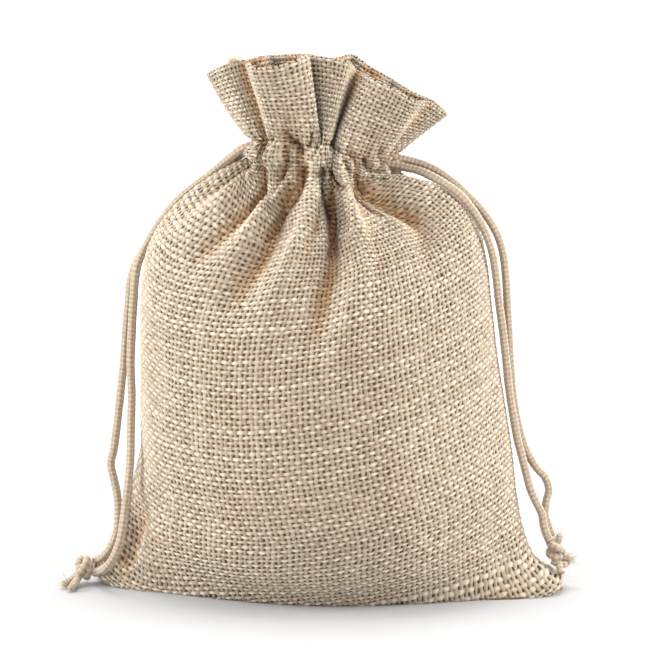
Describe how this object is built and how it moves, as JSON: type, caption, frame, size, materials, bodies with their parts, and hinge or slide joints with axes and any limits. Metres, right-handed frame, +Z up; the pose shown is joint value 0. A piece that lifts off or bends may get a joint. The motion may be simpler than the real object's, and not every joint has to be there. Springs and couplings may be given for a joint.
{
  "type": "burlap drawstring sack",
  "caption": "Small stuffed sack of coarse plain-weave jute cloth, its neck drawn shut into a frill by two cords that hang down its sides to knotted ends.",
  "frame": {"origin": "on the surface that the sack stands on, under the middle of the sack's box", "axes": "+Z up through the neck, -Y out of the face that the picture shows, +X to that face's right"},
  "size_m": [0.1435, 0.0734, 0.1484],
  "materials": {
    "cloth": "matte",
    "cord": "matte"
  },
  "bodies": {
    "root": {"sack": "cloth", "cord_left_front": "cord", "cord_left_back": "cord", "cord_right_front": "cord", "cord_right_back": "cord", "knot_left": "cord", "knot_right": "cord"}
  },
  "joints": []
}
